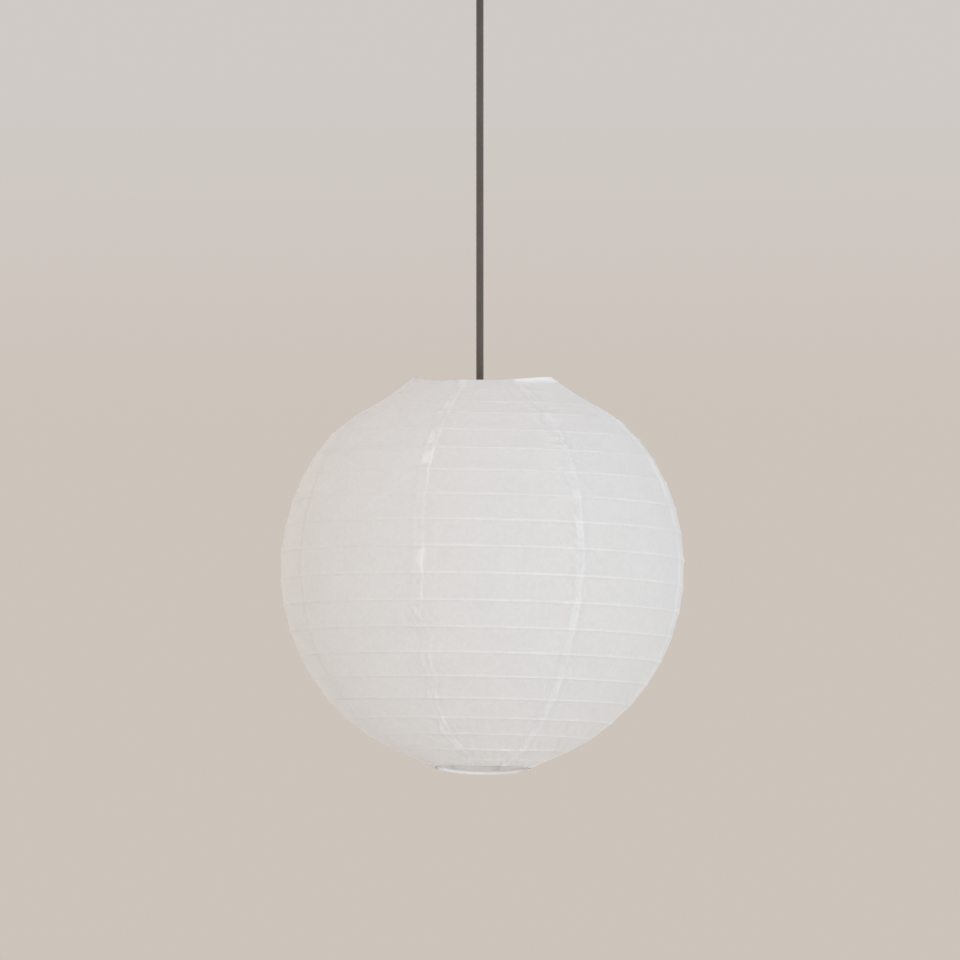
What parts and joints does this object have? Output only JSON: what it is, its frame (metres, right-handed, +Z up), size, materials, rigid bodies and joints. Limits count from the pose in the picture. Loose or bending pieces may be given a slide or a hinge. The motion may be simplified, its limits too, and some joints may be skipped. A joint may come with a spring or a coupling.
{
  "type": "paper lantern pendant lamp",
  "caption": "Round ribbed white paper lantern hung on a textile cord, with wire expander, lampholder, bulb and ceiling canopy; the paper shade folds flat along its hoops.",
  "frame": {"origin": "middle of the ceiling bracket's top face, where the lamp meets the ceiling", "axes": "+Z up out of the ceiling face, +X to the right and -Y towards the front of the lantern; the two expander hooks lie on the X axis"},
  "size_m": [0.3497, 0.3492, 0.7705],
  "materials": {
    "shade_paper": "matt white mulberry-style paper",
    "rib_wire": "thin cream-coated wire",
    "zinc_wire": "bright zinc-plated wire",
    "cord_textile": "braided textile",
    "holder_plastic": "satin moulded white",
    "insulator": "glazed cream",
    "contact_brass": "bright",
    "cap_nickel": "nickel plated",
    "bulb_glass": "frosted",
    "canopy_paint": "satin dark grey powder coat",
    "galvanised": "galvanised",
    "nylon": "natural nylon",
    "terminal_plastic": "translucent white",
    "core_brown_pvc": "smooth",
    "core_blue_pvc": "smooth"
  },
  "bodies": {
    "ceiling": {"ceiling_bracket": "galvanised", "ceiling_hook": "galvanised", "terminal_block": "terminal_plastic", "core_brown": "core_brown_pvc", "core_blue": "core_blue_pvc"},
    "canopy": {"canopy_cup": "canopy_paint", "canopy_screw_left": "galvanised", "canopy_screw_right": "galvanised"},
    "cord_hanger": {"cord_grip_body": "nylon", "cord_grip_clamp": "nylon", "grip_screw_1": "zinc_wire", "grip_screw_2": "zinc_wire"},
    "cord": {"pendant_cord": "cord_textile"},
    "lantern": {"cord_gland": "holder_plastic", "holder_cap": "holder_plastic", "holder_skirt": "holder_plastic", "holder_insulator": "insulator", "centre_contact": "contact_brass", "contact_shell": "contact_brass", "expander_socket_ring": "zinc_wire", "expander_arm_left": "zinc_wire", "expander_arm_right": "zinc_wire", "top_ring": "zinc_wire", "paper_gore_1": "shade_paper", "paper_gore_2": "shade_paper", "paper_gore_3": "shade_paper", "paper_gore_4": "shade_paper", "paper_gore_5": "shade_paper", "paper_gore_6": "shade_paper", "paper_gore_7": "shade_paper", "paper_gore_8": "shade_paper"},
    "collar": {"shade_collar": "holder_plastic"},
    "bulb": {"bulb_contact_tip": "cap_nickel", "bulb_base": "cap_nickel", "bulb_globe": "bulb_glass"},
    "leg_left": {"expander_leg_left": "zinc_wire"},
    "leg_right": {"expander_leg_right": "zinc_wire"},
    "bottom": {"bottom_ring": "zinc_wire"},
    "hoop_01": {"rib_hoop_01": "rib_wire"},
    "hoop_02": {"rib_hoop_02": "rib_wire"},
    "hoop_03": {"rib_hoop_03": "rib_wire"},
    "hoop_04": {"rib_hoop_04": "rib_wire"},
    "hoop_05": {"rib_hoop_05": "rib_wire"},
    "hoop_06": {"rib_hoop_06": "rib_wire"},
    "hoop_07": {"rib_hoop_07": "rib_wire"},
    "hoop_08": {"rib_hoop_08": "rib_wire"},
    "hoop_09": {"rib_hoop_09": "rib_wire"},
    "hoop_10": {"rib_hoop_10": "rib_wire"},
    "hoop_11": {"rib_hoop_11": "rib_wire"},
    "hoop_12": {"rib_hoop_12": "rib_wire"},
    "hoop_13": {"rib_hoop_13": "rib_wire"},
    "hoop_14": {"rib_hoop_14": "rib_wire"},
    "hoop_15": {"rib_hoop_15": "rib_wire"},
    "hoop_16": {"rib_hoop_16": "rib_wire"},
    "hoop_17": {"rib_hoop_17": "rib_wire"},
    "hoop_18": {"rib_hoop_18": "rib_wire"},
    "hoop_19": {"rib_hoop_19": "rib_wire"}
  },
  "joints": [
    {"name": "canopy_drop", "type": "slide", "parent": "ceiling", "child": "canopy", "axis": [0, 0, -1], "range_m": [0, 0.045], "stiffness_N_per_m": 80, "springref_m": -0.05},
    {"name": "hanger_swing", "type": "hinge", "parent": "ceiling", "child": "cord_hanger", "pos_m": [0, 0, -0.0182], "axis": [0, 1, 0], "range_deg": [-2.5, 2.5]},
    {"name": "cord_twist", "type": "hinge", "parent": "cord_hanger", "child": "cord", "pos_m": [0, 0, -0.03], "axis": [0, 0, 1], "range_deg": [-180, 180], "stiffness_Nm_per_rad": 0.002},
    {"name": "lantern_tilt", "type": "hinge", "parent": "cord", "child": "lantern", "pos_m": [0, 0, -0.4385], "axis": [0, 1, 0], "range_deg": [-8, 8]},
    {"name": "collar_unscrew", "type": "slide", "parent": "lantern", "child": "collar", "axis": [0, 0, -1], "range_m": [0, 0.012], "stiffness_N_per_m": 15, "springref_m": -0.01},
    {"name": "bulb_unscrew", "type": "slide", "parent": "lantern", "child": "bulb", "axis": [0, 0, -1], "range_m": [0, 0.06], "stiffness_N_per_m": 25, "springref_m": -0.03},
    {"name": "leg_squeeze_left", "type": "hinge", "parent": "lantern", "child": "leg_left", "pos_m": [-0.0345, 0, -0.4758], "axis": [0, -1, 0], "range_deg": [0, 1.5], "stiffness_Nm_per_rad": 2.4},
    {"name": "leg_squeeze_right", "type": "hinge", "parent": "lantern", "child": "leg_right", "pos_m": [0.0345, 0, -0.4758], "axis": [0, 1, 0], "range_deg": [0, 1.5], "stiffness_Nm_per_rad": 2.4},
    {"name": "shade_fold", "type": "slide", "parent": "lantern", "child": "bottom", "axis": [0, 0, 1], "range_m": [0, 0.3], "deforming": ["paper_gore_1", "paper_gore_2", "paper_gore_3", "paper_gore_4", "paper_gore_5", "paper_gore_6", "paper_gore_7", "paper_gore_8"]},
    {"name": "hoop_01_rise", "type": "slide", "parent": "lantern", "child": "hoop_01", "axis": [0, 0, 1], "range_m": [0, 0.01342]},
    {"name": "hoop_02_rise", "type": "slide", "parent": "lantern", "child": "hoop_02", "axis": [0, 0, 1], "range_m": [0, 0.02284]},
    {"name": "hoop_03_rise", "type": "slide", "parent": "lantern", "child": "hoop_03", "axis": [0, 0, 1], "range_m": [0, 0.03271]},
    {"name": "hoop_04_rise", "type": "slide", "parent": "lantern", "child": "hoop_04", "axis": [0, 0, 1], "range_m": [0, 0.0467]},
    {"name": "hoop_05_rise", "type": "slide", "parent": "lantern", "child": "hoop_05", "axis": [0, 0, 1], "range_m": [0, 0.06176]},
    {"name": "hoop_06_rise", "type": "slide", "parent": "lantern", "child": "hoop_06", "axis": [0, 0, 1], "range_m": [0, 0.07933]},
    {"name": "hoop_07_rise", "type": "slide", "parent": "lantern", "child": "hoop_07", "axis": [0, 0, 1], "range_m": [0, 0.09817]},
    {"name": "hoop_08_rise", "type": "slide", "parent": "lantern", "child": "hoop_08", "axis": [0, 0, 1], "range_m": [0, 0.1179]},
    {"name": "hoop_09_rise", "type": "slide", "parent": "lantern", "child": "hoop_09", "axis": [0, 0, 1], "range_m": [0, 0.13809]},
    {"name": "hoop_10_rise", "type": "slide", "parent": "lantern", "child": "hoop_10", "axis": [0, 0, 1], "range_m": [0, 0.15862]},
    {"name": "hoop_11_rise", "type": "slide", "parent": "lantern", "child": "hoop_11", "axis": [0, 0, 1], "range_m": [0, 0.17876]},
    {"name": "hoop_12_rise", "type": "slide", "parent": "lantern", "child": "hoop_12", "axis": [0, 0, 1], "range_m": [0, 0.19837]},
    {"name": "hoop_13_rise", "type": "slide", "parent": "lantern", "child": "hoop_13", "axis": [0, 0, 1], "range_m": [0, 0.21712]},
    {"name": "hoop_14_rise", "type": "slide", "parent": "lantern", "child": "hoop_14", "axis": [0, 0, 1], "range_m": [0, 0.23468]},
    {"name": "hoop_15_rise", "type": "slide", "parent": "lantern", "child": "hoop_15", "axis": [0, 0, 1], "range_m": [0, 0.25076]},
    {"name": "hoop_16_rise", "type": "slide", "parent": "lantern", "child": "hoop_16", "axis": [0, 0, 1], "range_m": [0, 0.26509]},
    {"name": "hoop_17_rise", "type": "slide", "parent": "lantern", "child": "hoop_17", "axis": [0, 0, 1], "range_m": [0, 0.27742]},
    {"name": "hoop_18_rise", "type": "slide", "parent": "lantern", "child": "hoop_18", "axis": [0, 0, 1], "range_m": [0, 0.28827]},
    {"name": "hoop_19_rise", "type": "slide", "parent": "lantern", "child": "hoop_19", "axis": [0, 0, 1], "range_m": [0, 0.29603]}
  ],
  "couplings": [
    {"joint": "hoop_01_rise", "follows": "shade_fold", "ratio": 0.043067},
    {"joint": "hoop_02_rise", "follows": "shade_fold", "ratio": 0.074471},
    {"joint": "hoop_03_rise", "follows": "shade_fold", "ratio": 0.10735},
    {"joint": "hoop_04_rise", "follows": "shade_fold", "ratio": 0.15399},
    {"joint": "hoop_05_rise", "follows": "shade_fold", "ratio": 0.2042},
    {"joint": "hoop_06_rise", "follows": "shade_fold", "ratio": 0.26276},
    {"joint": "hoop_07_rise", "follows": "shade_fold", "ratio": 0.32558},
    {"joint": "hoop_08_rise", "follows": "shade_fold", "ratio": 0.39133},
    {"joint": "hoop_09_rise", "follows": "shade_fold", "ratio": 0.45864},
    {"joint": "hoop_10_rise", "follows": "shade_fold", "ratio": 0.52705},
    {"joint": "hoop_11_rise", "follows": "shade_fold", "ratio": 0.59421},
    {"joint": "hoop_12_rise", "follows": "shade_fold", "ratio": 0.65958},
    {"joint": "hoop_13_rise", "follows": "shade_fold", "ratio": 0.72206},
    {"joint": "hoop_14_rise", "follows": "shade_fold", "ratio": 0.7806},
    {"joint": "hoop_15_rise", "follows": "shade_fold", "ratio": 0.8342},
    {"joint": "hoop_16_rise", "follows": "shade_fold", "ratio": 0.88196},
    {"joint": "hoop_17_rise", "follows": "shade_fold", "ratio": 0.92308},
    {"joint": "hoop_18_rise", "follows": "shade_fold", "ratio": 0.95925},
    {"joint": "hoop_19_rise", "follows": "shade_fold", "ratio": 0.98511}
  ]
}
